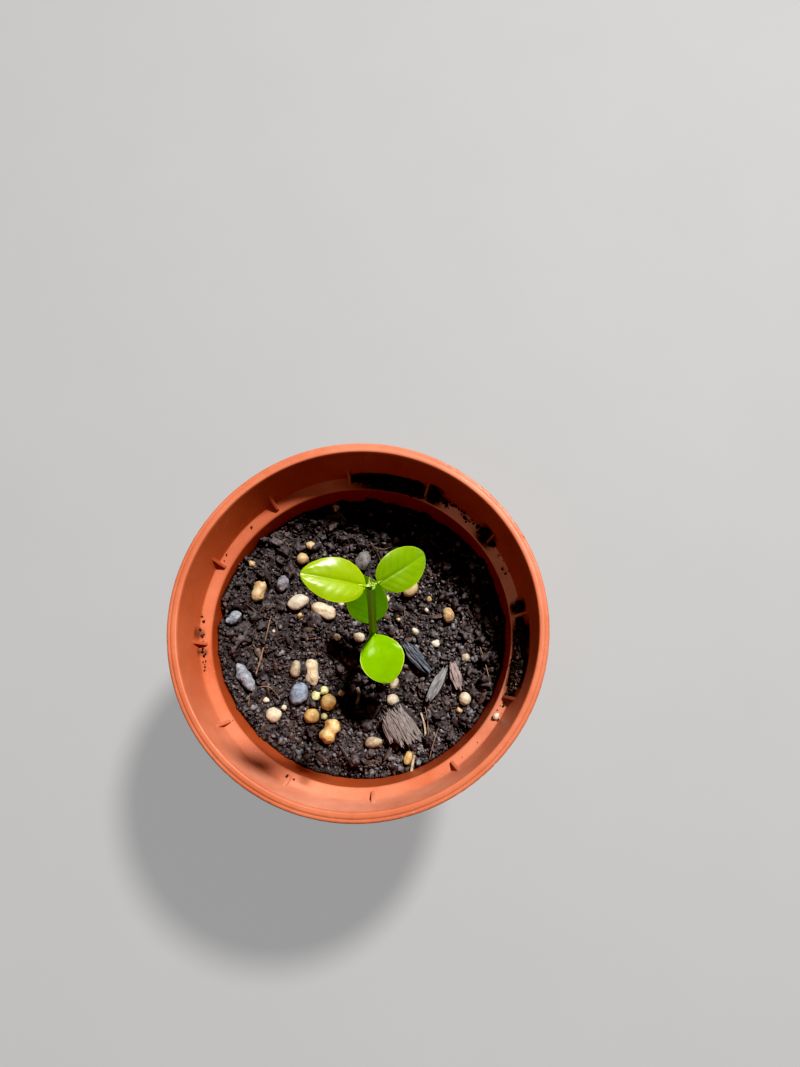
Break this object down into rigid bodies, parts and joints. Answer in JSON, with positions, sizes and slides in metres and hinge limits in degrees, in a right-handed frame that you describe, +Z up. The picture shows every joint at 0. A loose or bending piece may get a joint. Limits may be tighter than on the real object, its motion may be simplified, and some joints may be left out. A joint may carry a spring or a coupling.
{
  "type": "potted citrus seedling",
  "caption": "Young citrus seedling with two pairs of glossy leaves on a slim stem, growing in a round tapered plastic pot of potting compost.",
  "frame": {"origin": "centre of the pot's flat underside", "axes": "+Z up along the pot's axis, -Y towards the viewer, +X to the viewer's right"},
  "size_m": [0.1056, 0.1056, 0.1402],
  "materials": {
    "pot_plastic": "satin terracotta-coloured plastic with light scuffs and specks of dirt",
    "compost": "damp dark brown potting compost with fibres",
    "stem": "smooth green young bark, browner on one side",
    "leaf_upper": "glossy yellow-green leaf with a sunken midrib and faint side veins",
    "leaf_lower": "satin mid green leaf with a thin pale margin",
    "shoot_tip": "soft pale yellow-green bud",
    "bead": "waxy tan and cream fertiliser bead",
    "stone": "rough grey mineral grain",
    "chip": "weathered bark and charcoal"
  },
  "bodies": {
    "root": {"pot": "pot_plastic", "compost": "compost", "ledge_crumbs_back": "compost", "ledge_crumbs_side": "compost", "stem": "stem", "leaf_upper_left": "leaf_upper", "leaf_upper_right": "leaf_upper", "leaf_lower_front": "leaf_lower", "leaf_lower_back": "leaf_lower", "shoot_tip": "shoot_tip", "bead_1": "bead", "bead_2": "bead", "bead_3": "bead", "bead_4": "bead", "bead_5": "bead", "bead_6": "bead", "bead_7": "bead", "bead_8": "bead", "bead_9": "bead", "bead_10": "bead", "bead_11": "bead", "bead_12": "bead", "bead_13": "bead", "bead_14": "bead", "bead_15": "bead", "bead_16": "bead", "bead_17": "bead", "bead_18": "bead", "stone_1": "stone", "stone_2": "stone", "stone_3": "stone", "stone_4": "stone", "stone_5": "stone", "charcoal_chip": "chip", "wood_chip": "chip", "husk_chip": "chip", "bark_chip": "chip"}
  },
  "joints": []
}
